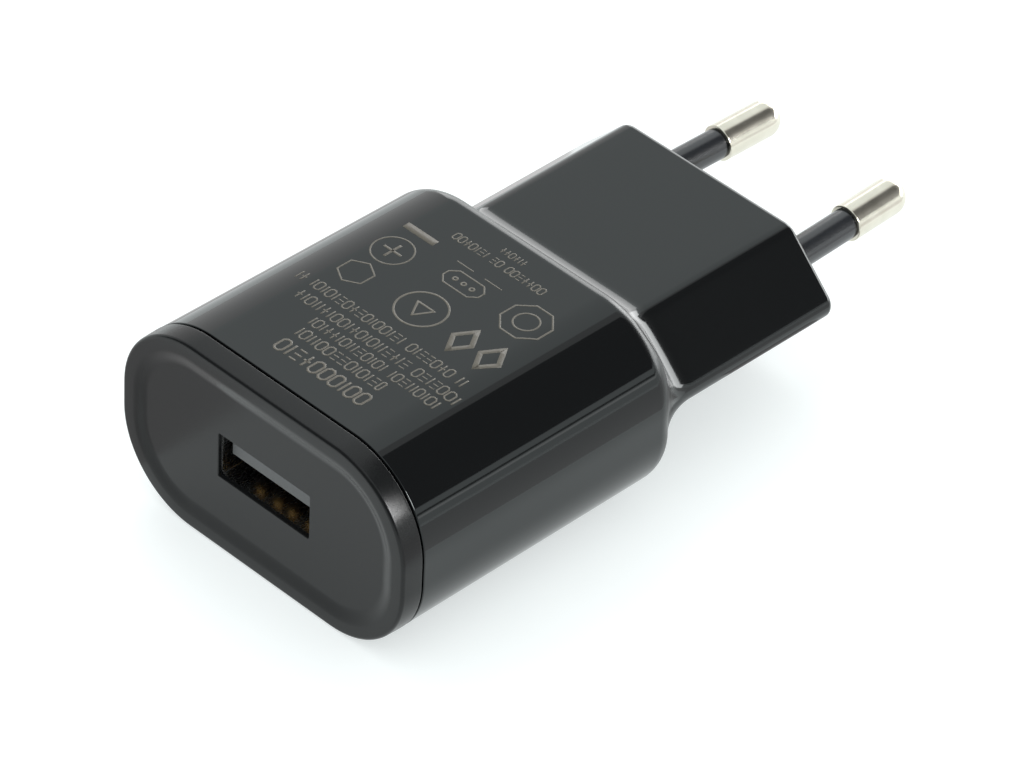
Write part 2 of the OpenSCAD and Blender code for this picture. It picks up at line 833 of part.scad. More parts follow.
module fuse_body() {
    color("#b9a27a")
        translate([side_x, side_part_y, side_part_z])
            rotate([90, 0, 0])
                cylinder(h = fuse_len - 2 * fuse_cap_len, r = fuse_tube_r, center = true);
}

module fuse_caps() {
    color("#c9ccd0")
        translate([side_x, side_part_y, side_part_z]) {
            for (side = [-1, 1])
                translate([0, side * (fuse_len - fuse_cap_len) / 2, 0])
                    rotate([90, 0, 0])
                        cylinder(h = fuse_cap_len, r = fuse_r, center = true);
            side_leads(fuse_len);
        }
}

// Disc-shaped safety capacitor, standing along Y.
module y_capacitor() {
    color("#2d6fb3")
        translate([y_cap_x, y_cap_y, y_cap_z])
            rotate([0, 90, 0])
                rotate_extrude()
                    polygon([
                        [0, -y_cap_t / 2], [y_cap_r - y_cap_edge, -y_cap_t / 2],
                        [y_cap_r, -y_cap_t / 2 + y_cap_edge], [y_cap_r, y_cap_t / 2 - y_cap_edge],
                        [y_cap_r - y_cap_edge, y_cap_t / 2], [0, y_cap_t / 2]
                    ]);
}

// Straight leads that end where they meet the disc's edge.
module y_capacitor_leads() {
    color("#c9ccd0")
        difference() {
            for (i = [-1, 1])
                translate([y_cap_x, y_cap_y + i * y_lead_pitch / 2, lead_end])
                    cylinder(h = y_cap_z - lead_end, r = side_lead_r);
            translate([y_cap_x, y_cap_y, y_cap_z])
                rotate([0, 90, 0])
                    cylinder(h = y_cap_t, r = y_cap_r, center = true);
        }
}

// Moulded body of a chip that hangs under the board.
module chip_body(spec) {
    translate([spec[0] - spec[2] / 2, spec[1] - spec[3] / 2, board_bottom - leg_t / 2 - spec[4]])
        cube([spec[2], spec[3], spec[4]]);
}

// The legs of one chip: a foot on the board and a stub that enters the body's side.
module legs_of(spec) {
    pitch = spec[2] / spec[5];
    for (side = [-1, 1], i = [0:spec[5] - 1]) {
        x = spec[0] - spec[2] / 2 + (i + 0.5) * pitch;
        y = spec[1] + side * (spec[3] + leg_run) / 2;
        translate([x - pitch / 4, y - leg_run / 2, board_bottom - leg_t])
            cube([pitch / 2, leg_run, leg_t]);
        translate([x - pitch / 4, y - side * (leg_run - leg_t) / 2 - leg_t / 2, board_bottom - leg_drop])
            cube([pitch / 2, leg_t, leg_drop]);
    }
}

module bridge_rectifier() {
    color("#1c1d1f")
        chip_body(bridge_spec);
}

module primary_controller() {
    color("#1c1d1f")
        chip_body(controller_spec);
}

module output_rectifier() {
    color("#1c1d1f")
        chip_body(rectifier_spec);
}

module protocol_chip() {
    color("#1c1d1f")
        chip_body(protocol_spec);
}

module optocoupler() {
    color("#e6e4dc")
        chip_body(optocoupler_spec);
}

module chip_legs() {
    color("#c9ccd0")
        for (spec = chip_specs)
            legs_of(spec);
}

// Rows of small chip parts under the board.
module chip_rows(rows) {
    for (row = rows, i = [0:row[2] - 1])
        translate([row[0] + i * chip_pitch, row[1], board_bottom - chip_size[2] / 2])
            cube(chip_size, center = true);
}

module chip_resistors() {
    color("#202124")
        chip_rows(resistor_rows);
}

module chip_capacitors() {
    color("#b08d57")
        chip_rows(capacitor_rows);
}

// One solder cone around every round lead, under the board.
module solder_joints() {
    color("#b4b7bb")
        for (lead = through_leads)
            translate([lead[0], lead[1], board_bottom - solder_h])
                difference() {
                    cylinder(h = solder_h, r1 = lead[2] + solder_rim, r2 = lead[2] + solder_foot);
                    translate([0, 0, -past])
                        cylinder(h = solder_h + 2 * past, r = lead[2]);
                }
}

// Thin wall that keeps the mains side and the socket side apart.
module insulation_barrier() {
    color("#d8d4c0")
        block(0, barrier_w, barrier_y, barrier_y + barrier_t, board_top, barrier_h);
}

front_cap();
main_shell();
plug_pin(-1);  // pin_left
plug_pin(1);  // pin_right
pin_sleeve(-1);  // pin_sleeve_left
pin_sleeve(1);  // pin_sleeve_right
mains_lead(-1);  // mains_lead_left
mains_lead(1);  // mains_lead_right
usb_shell();
usb_insulator();
usb_contacts();
circuit_board();
core_half(-1);  // transformer_core_front
core_half(1);  // transformer_core_rear
transformer_bobbin();
primary_winding();
secondary_winding();
transformer_tape();
transformer_pins();
bulk_capacitor(-1);  // bulk_capacitor_left
bulk_capacitor(1);  // bulk_capacitor_right
bulk_capacitor_bungs();
bulk_capacitor_leads();
output_capacitors();
output_capacitor_bases();
input_choke_core();
input_choke_winding();
fuse_body();
fuse_caps();
y_capacitor();
y_capacitor_leads();
bridge_rectifier();
primary_controller();
output_rectifier();
protocol_chip();
optocoupler();
chip_legs();
chip_resistors();
chip_capacitors();
solder_joints();
insulation_barrier();
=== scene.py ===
"""Studio view of a compact USB mains charger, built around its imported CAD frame.

Lengths named in this file are in millimetres unless they end in _m. The frame is in metres.
X is the charger's width, Y runs from the socket to the pins, and Z is up.
"""

import math
import random

import bmesh
import bpy
import numpy as np
from mathutils import Matrix, Vector


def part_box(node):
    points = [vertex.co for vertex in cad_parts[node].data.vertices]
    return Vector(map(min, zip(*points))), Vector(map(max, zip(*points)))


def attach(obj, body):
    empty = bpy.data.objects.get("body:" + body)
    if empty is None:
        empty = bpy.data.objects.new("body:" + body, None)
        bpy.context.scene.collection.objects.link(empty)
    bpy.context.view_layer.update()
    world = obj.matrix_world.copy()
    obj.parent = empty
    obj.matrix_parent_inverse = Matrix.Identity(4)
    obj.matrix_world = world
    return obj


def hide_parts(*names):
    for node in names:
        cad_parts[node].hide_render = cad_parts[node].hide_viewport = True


MM = 0.001

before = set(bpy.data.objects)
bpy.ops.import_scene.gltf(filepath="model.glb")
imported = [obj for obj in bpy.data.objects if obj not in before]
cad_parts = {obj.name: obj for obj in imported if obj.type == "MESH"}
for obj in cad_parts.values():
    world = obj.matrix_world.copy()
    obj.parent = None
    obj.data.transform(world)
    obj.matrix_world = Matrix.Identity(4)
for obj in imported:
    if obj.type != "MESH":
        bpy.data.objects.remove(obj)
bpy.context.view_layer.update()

# ---------------------------------------------------------------- sizes

cap_low, cap_high = (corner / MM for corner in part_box("front_cap"))
shell_low, shell_high = (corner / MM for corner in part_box("main_shell"))
usb_low, usb_high = (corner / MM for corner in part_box("usb_shell"))

HALF_W = cap_high.x
CASE_H = cap_high.z
MID_Z = CASE_H / 2
CASE_R = 9.8
FRONT_Y = cap_low.y
FACE_Y = shell_high.y
SHELL_Y = shell_low.y
SEAM_GAP = 0.25
SEAM_Y = SHELL_Y - SEAM_GAP
BLOCK_LEN = 35.7
STEP_Y = FRONT_Y + BLOCK_LEN

# Front cap
DISH_DEPTH = 0.4
PANEL_Y = FRONT_Y + DISH_DEPTH
RIM_W = 1.5
SLOPE_W = 1.8
CAP_ROUND = 0.38
BAND_DRAFT = 0.06  # how much smaller the cap's side band is at the rim than at the seam
CAP_SKIRT_INSET = 1.8
CAP_SKIRT_T = 1.2
CAP_SKIRT_END_Y = SEAM_Y + 3.0
PANEL_T = 1.6
PANEL_BACK_Y = PANEL_Y + PANEL_T
SEAM_ROUND = 0.1  # round of the cap's edge at the seam
POCKET_HALF_H = 2.95  # pocket behind the panel, around the front of the socket
POCKET_CORNER_R = 0.2
POCKET_GAP = 0.1
WINDOW_HALF_W = 6.35
WINDOW_HALF_H = 2.6
WINDOW_CORNER_R = 0.15
WINDOW_CHAMFER = 0.08

# Main shell
WALL = 1.7
TOP_DROP = 0.28  # how far the block's top falls from the seam to the step
SIDE_DRAFT = 0.12
BLOCK_GAP = 0.02  # the block stands this much inside the cap's outline
LIP_ROUND = 0.12
SHOULDER_R = 2.0  # convex radius where the block turns down to the plug body
SWEEP_R = 4.5  # concave radius from the shoulder to the plug body
SWEEP_START_Y = STEP_Y - 0.9
SUPPORT = 0.03  # distance of the extra rings beside a fillet
NECK_HALF_H = 6.85
NECK_TOP_R = 2.2
NECK_SIDE_R = 1.69
NECK_SLANT_X = 18.2
NECK_SLANT = math.radians(45)
NECK_WALL = 1.6
FACE_ROUND = 0.7
FACE_WALL = 2.4
MOUTH_CHAMFER = 0.12  # at the mouth of each pin's bore
SEAT_R = 3.4  # outside of the tube that holds a pin
SEAT_OVERLAP = 0.3  # how far that tube runs into the end wall

# Pins
PIN_X = 9.3
PIN_TILT = math.radians(1.74)
PIN_R = 2.0
PIN_LEN = 19.0
PIN_CORE_R = 1.3
SLEEVE_R = 1.65
SLEEVE_LEN = 10.7
SEAT_DEPTH = 7.4
FLANGE_R = 2.5
FLANGE_LEN = 1.2
PIN_TAIL = 3.4
BORE_GAP = 0.03
SLEEVE_GAP = 0.01
SLEEVE_END_GAP = 0.02
PIN_CORNER_R = 0.16
SLEEVE_CORNER_R = 0.1

# ---------------------------------------------------------------- outlines

FLAT_STEPS = 6
ARC_STEPS = 36
SIDE_STEPS = 2
SHOULDER_STEPS = 12
SWEEP_STEPS = 30


def straight(start, end, steps):
    """Points from start to end, without the last one."""
    return [np.array(start) + (np.array(end) - np.array(start)) * i / steps for i in range(steps)]


def arc(centre, radius, from_deg, to_deg, steps):
    """Points on an arc, without the last one. Angles run clockwise from +Z."""
    angles = [math.radians(from_deg + (to_deg - from_deg) * i / steps) for i in range(steps)]
    return [np.array(centre) + radius * np.array([math.sin(a), math.cos(a)]) for a in angles]


def mirrored_outline(quarter, end):
    """A closed outline in X and Z from its upper right quarter, which ends at the point end."""
    upper_right = quarter + [np.array(end)]
    lower_right = [p * (1, -1) for p in reversed(upper_right[:-1])]
    right = upper_right + lower_right[:-1]
    left = [-p for p in right]
    return np.array(right + left)


def box_outline(half_w, half_h, corner_r, centre_z=MID_Z):
    """A rectangle with round corners, as an outline in X and Z."""
    corner = (half_w - corner_r, half_h - corner_r)
    quarter = straight((0, half_h), (corner[0], half_h), FLAT_STEPS)
    quarter += arc(corner, corner_r, 0, 90, ARC_STEPS)
    quarter += straight((half_w, corner[1]), (half_w, 0), SIDE_STEPS)
    return mirrored_outline(quarter, (half_w, 0)) + (0, centre_z)


def case_outline(grow=0.0):
    """The cap's outline, moved outwards by grow."""
    return box_outline(HALF_W + grow, CASE_H / 2 + grow, CASE_R + grow)


def block_top(y):
    """Height of the block's top at y."""
    share = (y - SHELL_Y) / (STEP_Y - SHELL_Y)
    return CASE_H - BLOCK_GAP - TOP_DROP * share


def block_outline(y, grow=0.0):
    """The block's outline at y, moved outwards by grow."""
    share = (y - SHELL_Y) / (STEP_Y - SHELL_Y)
    half_w = HALF_W - BLOCK_GAP - SIDE_DRAFT * share
    return box_outline(half_w + grow, block_top(y) / 2 + grow, CASE_R + grow, block_top(y) / 2)


def neck_outline(grow=0.0):
    """The plug body's outline, moved outwards by grow: flat top, 45 degree sides and round edges."""
    half_h = NECK_HALF_H + grow
    slant_x = NECK_SLANT_X + grow / math.sin(NECK_SLANT)
    top_r = NECK_TOP_R + grow
    side_r = NECK_SIDE_R + grow
    flat_x = slant_x - half_h - top_r * math.tan(NECK_SLANT / 2)
    side_x = slant_x - side_r / math.sin(NECK_SLANT)
    slant_deg = math.degrees(NECK_SLANT)
    top_arc = arc((flat_x, half_h - top_r), top_r, 0, slant_deg, ARC_STEPS // 3)
    side_arc = arc((side_x, 0), side_r, slant_deg, 90, ARC_STEPS // 2)
    slant_from = (
        flat_x + top_r * math.sin(NECK_SLANT),
        half_h - top_r * (1 - math.cos(NECK_SLANT)),
    )
    slant_steps = ARC_STEPS + SIDE_STEPS - len(top_arc) - len(side_arc)
    quarter = straight((0, half_h), (flat_x, half_h), FLAT_STEPS)
    quarter += top_arc
    quarter += straight(slant_from, side_arc[0], slant_steps)
    quarter += side_arc
    return mirrored_outline(quarter, (side_x + side_r, 0)) + (0, MID_Z)


def ring(outline, y):
    """An outline in X and Z placed at y, as points in X, Y and Z."""
    return np.column_stack([outline[:, 0], np.full(len(outline), y), outline[:, 1]])


def fillet(steps):
    """Pairs (share of the radius inwards, share of the radius along) around a convex quarter round."""
    angles = [math.pi / 2 * i / steps for i in range(steps + 1)]
    return [(1 - math.cos(a), math.sin(a)) for a in angles]


# ---------------------------------------------------------------- mesh building

SHARP_ANGLE = math.radians(32)


def add_ring(bm, points):
    return [bm.verts.new(Vector(p) * MM) for p in points]


def join_rings(bm, first, second):
    """Quads between two rings with the same number of points."""
    count = len(first)
    for i in range(count):
        j = (i + 1) % count
        bm.faces.new((first[i], first[j], second[j], second[i]))


def finish_mesh(bm, name, weighted=True):
    """Makes an object from bm, with outward normals, smooth faces and sharp edges where it turns hard."""
    bmesh.ops.recalc_face_normals(bm, faces=bm.faces)
    for face in bm.faces:
        face.smooth = True
    for edge in bm.edges:
        edge.smooth = len(edge.link_faces) != 2 or edge.calc_face_angle() < SHARP_ANGLE
    mesh = bpy.data.meshes.new(name)
    bm.to_mesh(mesh)
    bm.free()
    piece = bpy.data.objects.new(name, mesh)
    bpy.context.scene.collection.objects.link(piece)
    if weighted:
        add_weighted_normals(piece)
    return piece


def add_weighted_normals(piece):
    modifier = piece.modifiers.new("flat_faces_stay_flat", "WEIGHTED_NORMAL")
    modifier.keep_sharp = True
    modifier.weight = 100


def place(piece, slot_name, material, *nodes):
    """Gives a built piece its material, and lets it stand for its CAD nodes."""
    piece.data.materials.append(material)
    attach(piece, "root")
    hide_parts(*nodes)


def around_axis(origin, axis, points, steps):
    """Rings of points (radius, distance along the axis) turned about an axis in the XY plane."""
    axis = Vector(axis).normalized()
    across = axis.cross(Vector((0, 0, 1))).normalized()
    turns = [2 * math.pi * i / steps for i in range(steps)]
    rings = []
    for radius, along in points:
        middle = Vector(origin) + axis * along
        rings.append(
            [middle + (across * math.cos(t) + Vector((0, 0, 1)) * math.sin(t)) * radius for t in turns]
        )
    return rings


# ---------------------------------------------------------------- main shell

SIDES = {-1: "left", 1: "right"}
BORE_R = SLEEVE_R + BORE_GAP
BORE_STEPS = 64
SEAT_STEPS = 48


def pin_axis(side):
    return Vector((-side * math.sin(PIN_TILT), math.cos(PIN_TILT), 0))


def pin_origin(side):
    return Vector((side * PIN_X, FACE_Y, MID_Z))


def shoulder_rings():
    """The S-shaped way from the block down to the plug body: a small round, then a wide hollow."""
    block = block_outline(SWEEP_START_Y)
    to_neck = neck_outline() - block
    drop = np.linalg.norm(to_neck, axis=1)
    steepest = np.arccos(1 - drop / (SHOULDER_R + SWEEP_R))
    inwards = to_neck / drop[:, None]

    def placed(inset, y):
        outline = block + inwards * inset[:, None]
        return np.column_stack([outline[:, 0], y, outline[:, 1]])

    rings = []
    for share in np.linspace(0, 1, SHOULDER_STEPS):
        turn = steepest * share
        rings.append(placed(SHOULDER_R * (1 - np.cos(turn)), SWEEP_START_Y + SHOULDER_R * np.sin(turn)))
    hollow_end = SWEEP_START_Y + (SHOULDER_R + SWEEP_R) * np.sin(steepest)
    for share in np.linspace(1, 0, SWEEP_STEPS)[1:]:
        turn = steepest * share
        rings.append(placed(drop - SWEEP_R * (1 - np.cos(turn)), hollow_end - SWEEP_R * np.sin(turn)))
    return rings


def outer_shell_rings():
    """Rings from the lip behind the cap, over the block and the plug body, to the engagement face."""
    rings = [
        ring(block_outline(SHELL_Y, -LIP_ROUND * inward), SHELL_Y + LIP_ROUND * (1 - along))
        for inward, along in reversed(fillet(4))
    ]
    block_from = SHELL_Y + LIP_ROUND + SUPPORT
    block_to = SWEEP_START_Y - SUPPORT
    for y in np.linspace(block_from, block_to, 5):
        rings.append(ring(block_outline(y), y))
    rings += shoulder_rings()
    face_start = FACE_Y - FACE_ROUND
    neck_from = STEP_Y + SWEEP_R + SHOULDER_R
    for y in np.linspace(neck_from, face_start - SUPPORT, 3):
        rings.append(ring(neck_outline(), y))
    for inward, along in fillet(8):
        rings.append(ring(neck_outline(-FACE_ROUND * inward), face_start + FACE_ROUND * along))
    rings.append(ring(neck_outline(-FACE_ROUND - SUPPORT), FACE_Y))
    return rings


def inner_shell_rings():
    """Rings of the hollow inside, from the open front to the end wall."""
    neck_start = STEP_Y - WALL
    return [
        ring(block_outline(SHELL_Y, -WALL), SHELL_Y),
        ring(block_outline(neck_start, -WALL), neck_start),
        ring(neck_outline(-NECK_WALL), neck_start),
        ring(neck_outline(-NECK_WALL), FACE_Y - FACE_WALL),
    ]


def chain(bm, rings):
    """Adds rings, joins each to the next, and returns the first and the last."""
    made = [add_ring(bm, points) for points in rings]
    for first, second in zip(made, made[1:]):
        join_rings(bm, first, second)
    return made[0], made[-1]


def ring_edges(bm, verts):
    return [bm.edges.get((verts[i], verts[(i + 1) % len(verts)])) for i in range(len(verts))]


def close_with_holes(bm, outer, holes):
    """Fills the flat face between an outer ring and the rings of its holes."""
    edges = ring_edges(bm, outer)
    for hole in holes:
        edges += ring_edges(bm, hole)
    bmesh.ops.triangle_fill(bm, edges=edges, use_beauty=True)


def bore_rings(side, depth):
    """A pin's bore from the engagement face inwards, with a small chamfer at its mouth."""
    origin = pin_origin(side)
    axis = pin_axis(side)
    square = Vector((0, 1, 0))
    lip = BORE_R + MOUTH_CHAMFER
    mouth = around_axis(origin, square, [(lip + SUPPORT, 0), (lip, 0)], BORE_STEPS)
    rest = around_axis(origin, axis, [(BORE_R, -MOUTH_CHAMFER)], BORE_STEPS)
    end = around_axis(origin - axis * depth, square, [(BORE_R, 0)], BORE_STEPS)
    return mouth + rest + end


def add_seat(bm, side):
    """The tube inside the shell that holds one pin."""
    start = -SEAT_DEPTH
    end = SEAT_OVERLAP - FACE_WALL
    section = [(BORE_R, start), (SEAT_R, start), (SEAT_R, end), (BORE_R, end)]
    rings = around_axis(pin_origin(side), pin_axis(side), section, SEAT_STEPS)
    made = [add_ring(bm, points) for points in rings]
    for first, second in zip(made, made[1:] + made[:1]):
        join_rings(bm, first, second)


def build_main_shell():
    bm = bmesh.new()
    outer_front, outer_back = chain(bm, outer_shell_rings())
    inner_front, inner_back = chain(bm, inner_shell_rings())
    join_rings(bm, outer_front, inner_front)
    mouths = []
    ends = []
    for side in SIDES:
        mouth, end = chain(bm, bore_rings(side, FACE_WALL / math.cos(PIN_TILT)))
        mouths.append(mouth)
        ends.append(end)
    close_with_holes(bm, outer_back, mouths)
    close_with_holes(bm, inner_back, ends)
    for side in SIDES:
        add_seat(bm, side)
    return finish_mesh(bm, "main_shell_moulding", weighted=False)


# ---------------------------------------------------------------- front cap

SLOPE_STEPS = 24


def smooth_step(t):
    """A soft rise from 0 to 1 while t goes from 0 to 1."""
    return t * t * (3 - 2 * t)


def window_outline(grow=0.0):
    return box_outline(WINDOW_HALF_W + grow, WINDOW_HALF_H + grow, WINDOW_CORNER_R + max(grow, 0))


def front_cap_rings():
    """Rings around the cap's section, starting in the window and ending behind the panel."""
    pocket = box_outline(usb_high.x + POCKET_GAP, POCKET_HALF_H, POCKET_CORNER_R)
    rings = [
        ring(window_outline(), usb_low.y),
        ring(window_outline(), PANEL_Y + WINDOW_CHAMFER),
        ring(window_outline(WINDOW_CHAMFER), PANEL_Y),
    ]
    rings.append(ring(case_outline(-RIM_W - SLOPE_W - SUPPORT), PANEL_Y))
    for i in range(SLOPE_STEPS + 1):
        share = i / SLOPE_STEPS
        inset = RIM_W + SLOPE_W * (1 - share)
        rings.append(ring(case_outline(-inset), PANEL_Y - DISH_DEPTH * smooth_step(share)))
    for inward, along in reversed(fillet(14)):
        rings.append(ring(case_outline(-BAND_DRAFT - CAP_ROUND * inward), FRONT_Y + CAP_ROUND * (1 - along)))
    band_from = FRONT_Y + CAP_ROUND
    band_to = SEAM_Y - SEAM_ROUND
    for share in np.linspace(0, 1, 12)[1:-1]:
        y = band_from + (band_to - band_from) * share
        rings.append(ring(case_outline(-BAND_DRAFT * (1 - share) ** 2), y))
    for inward, along in fillet(6):
        rings.append(ring(case_outline(-SEAM_ROUND * inward), band_to + SEAM_ROUND * along))
    rings += [
        ring(case_outline(-CAP_SKIRT_INSET), SEAM_Y),
        ring(case_outline(-CAP_SKIRT_INSET), CAP_SKIRT_END_Y),
        ring(case_outline(-CAP_SKIRT_INSET - CAP_SKIRT_T), CAP_SKIRT_END_Y),
        ring(case_outline(-CAP_SKIRT_INSET - CAP_SKIRT_T), PANEL_BACK_Y),
        ring(pocket, PANEL_BACK_Y),
        ring(pocket, usb_low.y),
    ]
    return rings


def build_front_cap():
    bm = bmesh.new()
    first, last = chain(bm, front_cap_rings())
    join_rings(bm, last, first)
    return finish_mesh(bm, "front_cap_moulding", weighted=False)


# ---------------------------------------------------------------- pins and sleeves

TURN_STEPS = 96
TIP_STEPS = 20
MAX_CORNER_SHARE = 0.45  # of the shorter side beside a corner, for its round


def rounded_profile(points, radius, steps=5):
    """A profile with each inner corner replaced by a small arc-like curve."""
    made = [points[0]]
    for before, corner, after in zip(points, points[1:], points[2:]):
        before, corner, after = (Vector(p) for p in (before, corner, after))
        shorter = min((before - corner).length, (after - corner).length)
        reach = min(radius, shorter * MAX_CORNER_SHARE)
        start = corner + (before - corner).normalized() * reach
        end = corner + (after - corner).normalized() * reach
        for i in range(steps + 1):
            t = i / steps
            made.append(tuple(start * (1 - t) ** 2 + corner * 2 * t * (1 - t) + end * t * t))
    made.append(points[-1])
    return made


def build_turned(name, side, profile, closed):
    """A turned piece about a pin's axis. A closed profile makes a tube, an open one ends on the axis."""
    bm = bmesh.new()
    body = profile if closed else profile[1:-1]
    rings = around_axis(pin_origin(side), pin_axis(side), body, TURN_STEPS)
    made = [add_ring(bm, points) for points in rings]
    for first, second in zip(made, made[1:]):
        join_rings(bm, first, second)
    if closed:
        join_rings(bm, made[-1], made[0])
    else:
        for (_, along), verts in ((profile[0], made[0]), (profile[-1], made[-1])):
            tip = bm.verts.new((pin_origin(side) + pin_axis(side) * along) * MM)
            for i in range(TURN_STEPS):
                bm.faces.new((verts[i], verts[(i + 1) % TURN_STEPS], tip))
    return finish_mesh(bm, name)


def pin_profile():
    """A pin's half section as (radius, distance along its axis), from its tail to its tip."""
    tip_start = PIN_LEN - PIN_R
    stepped = [
        (0, -SEAT_DEPTH - PIN_TAIL),
        (PIN_CORE_R, -SEAT_DEPTH - PIN_TAIL),
        (PIN_CORE_R, -SEAT_DEPTH),
        (FLANGE_R, -SEAT_DEPTH),
        (FLANGE_R, FLANGE_LEN - SEAT_DEPTH),
        (PIN_CORE_R, FLANGE_LEN - SEAT_DEPTH),
        (PIN_CORE_R, SLEEVE_LEN),
        (PIN_R, SLEEVE_LEN),
        (PIN_R, tip_start),
    ]
    angles = [math.pi / 2 * i / TIP_STEPS for i in range(1, TIP_STEPS)]
    tip = [(PIN_R * math.cos(a), tip_start + PIN_R * math.sin(a)) for a in angles]
    return rounded_profile(stepped, PIN_CORNER_R) + tip + [(0, PIN_LEN)]


def sleeve_profile():
    """A sleeve's closed section, which starts and ends halfway along its outside."""
    inner_r = PIN_CORE_R + SLEEVE_GAP
    start = FLANGE_LEN - SEAT_DEPTH + SLEEVE_END_GAP
    end = SLEEVE_LEN - SLEEVE_END_GAP
    halfway = (SLEEVE_R, (start + end) / 2)
    section = [halfway, (SLEEVE_R, end), (inner_r, end), (inner_r, start), (SLEEVE_R, start), halfway]
    return rounded_profile(section, SLEEVE_CORNER_R)[:-1]


# ---------------------------------------------------------------- materials


class Nodes:
    """A short way to add and link shader nodes."""

    def __init__(self, material):
        material.use_nodes = True
        self.tree = material.node_tree
        self.shader = self.tree.nodes["Principled BSDF"]
        self.place = self.tree.nodes.new("ShaderNodeTexCoord").outputs["Object"]

    def link(self, source, target):
        self.tree.links.new(source, target)

    def noise(self, size, detail=4.0, stretch=(1, 1, 1)):
        """Noise with features of about size, stretched along the axes. Returns its factor."""
        mapping = self.tree.nodes.new("ShaderNodeMapping")
        mapping.inputs["Scale"].default_value = [1 / (size * MM * s) for s in stretch]
        node = self.tree.nodes.new("ShaderNodeTexNoise")
        node.inputs["Scale"].default_value = 1.0
        node.inputs["Detail"].default_value = detail
        self.link(self.place, mapping.inputs["Vector"])
        self.link(mapping.outputs["Vector"], node.inputs["Vector"])
        return node.outputs["Fac"]

    def wave(self, pitch, direction):
        """Parallel ridges with the given pitch. Returns their factor."""
        node = self.tree.nodes.new("ShaderNodeTexWave")
        node.bands_direction = direction
        node.inputs["Scale"].default_value = 1 / (pitch * MM) / math.pi
        node.inputs["Distortion"].default_value = 0.4
        self.link(self.place, node.inputs["Vector"])
        return node.outputs["Fac"]

    def map_range(self, value, from_range, to_range=(0.0, 1.0)):
        """A value mapped from one range to another."""
        node = self.tree.nodes.new("ShaderNodeMapRange")
        node.inputs["From Min"].default_value = from_range[0]
        node.inputs["From Max"].default_value = from_range[1]
        node.inputs["To Min"].default_value = to_range[0]
        node.inputs["To Max"].default_value = to_range[1]
        self.link(value, node.inputs["Value"])
        return node.outputs["Result"]

    def spread(self, noise, low, high):
        """Noise, which lies mostly between 0.3 and 0.7, spread over the range low to high."""
        return self.map_range(noise, (0.3, 0.7), (low, high))

    def set_input(self, name, value):
        """Puts a plain number or colour on the shader."""
        self.shader.inputs[name].default_value = value

    def feed(self, name, source):
        """Links a texture to the shader."""
        self.link(source, self.shader.inputs[name])

    def mix(self, factor, first, second):
        """A colour between two, by a factor."""
        node = self.tree.nodes.new("ShaderNodeMix")
        node.data_type = "RGBA"
        self.link(factor, node.inputs["Factor"])
        node.inputs["A"].default_value = (*first, 1)
        node.inputs["B"].default_value = (*second, 1)
        return node.outputs["Result"]

    def bump(self, factor, height, normal=None):
        """A bump of that height. Returns its normal."""
        node = self.tree.nodes.new("ShaderNodeBump")
        node.inputs["Distance"].default_value = height * MM
        self.link(factor, node.inputs["Height"])
        if normal is not None:
            self.link(normal, node.inputs["Normal"])
        return node.outputs["Normal"]


def base_finish(name, roughness, metallic=0.0, specular=0.5):
    """A plain finish, with the helper that adds its textures."""
    material = bpy.data.materials.new(name)
    nodes = Nodes(material)
    nodes.set_input("Metallic", metallic)
    nodes.set_input("Roughness", roughness)
    nodes.set_input("Specular IOR Level", specular)
    return material, nodes


def surface(
    name, colour, roughness, metallic=0.0, specular=0.5, grain=0.4, bump=0.002, vary=0.15, stretch=(1, 1, 1)
):
    """A finish with noise in its colour, roughness and relief."""
    material, nodes = base_finish(name, roughness, metallic, specular)
    noise = nodes.noise(grain, stretch=stretch)
    dark = [c * (1 - vary) for c in colour]
    light = [min(1.0, c * (1 + vary)) for c in colour]
    roughest = min(1.0, roughness * (1 + vary))
    nodes.feed("Base Color", nodes.mix(nodes.spread(noise, 0, 1), dark, light))
    nodes.feed("Roughness", nodes.spread(noise, roughness * (1 - vary), roughest))
    nodes.feed("Normal", nodes.bump(noise, bump))
    return material


PAINTED_GROOVE_SHADE = 0.55  # painted shade in the groove between two turns, as a share of the wire's colour


def wound(name, colour, roughness, metallic, pitch, direction, height):
    """A finish with parallel turns of wire or tape, with painted shade in the grooves between them."""
    material, nodes = base_finish(name, roughness, metallic)
    turns = nodes.wave(pitch, direction)
    # The grooves get a darker copy of the colour: painted shade between the turns.
    dark = [c * PAINTED_GROOVE_SHADE for c in colour]
    nodes.feed("Base Color", nodes.mix(turns, dark, colour))
    nodes.feed("Normal", nodes.bump(turns, height))
    return material


# Roughness of the main shell along Y: mirror-like block, satin hollow, half polished plug body
SHELL_ROUGHNESS = [
    (SWEEP_START_Y, 0.05),
    (STEP_Y - 0.2, 0.3),
    (STEP_Y + 2.0, 0.3),
    (STEP_Y + 3.5, 0.11),
]


def shell_finish():
    """Black plastic with a faint orange peel and a polish that changes along Y."""
    material, nodes = base_finish("black_polished_plastic", 0.06, specular=0.46)
    nodes.set_input("Base Color", (0.0042, 0.0045, 0.005, 1))
    nodes.set_input("Specular Tint", (0.94, 1.0, 1.0, 1))
    split = nodes.tree.nodes.new("ShaderNodeSeparateXYZ")
    nodes.link(nodes.place, split.inputs["Vector"])
    along = nodes.map_range(split.outputs["Y"], (SHELL_Y * MM, FACE_Y * MM))
    ramp = nodes.tree.nodes.new("ShaderNodeValToRGB")
    stops = ramp.color_ramp.elements
    while len(stops) < len(SHELL_ROUGHNESS):
        stops.new(0.5)
    for stop, (y, roughness) in zip(stops, SHELL_ROUGHNESS):
        stop.position = (y - SHELL_Y) / (FACE_Y - SHELL_Y)
        stop.color = (roughness, roughness, roughness, 1)
    nodes.link(along, ramp.inputs["Fac"])
    nodes.feed("Roughness", ramp.outputs["Color"])
    peel = nodes.bump(nodes.noise(1.6, detail=1.0), 0.0012)
    fine = nodes.bump(nodes.noise(0.12, detail=3.0), 0.00012, peel)
    nodes.feed("Normal", fine)
    return material


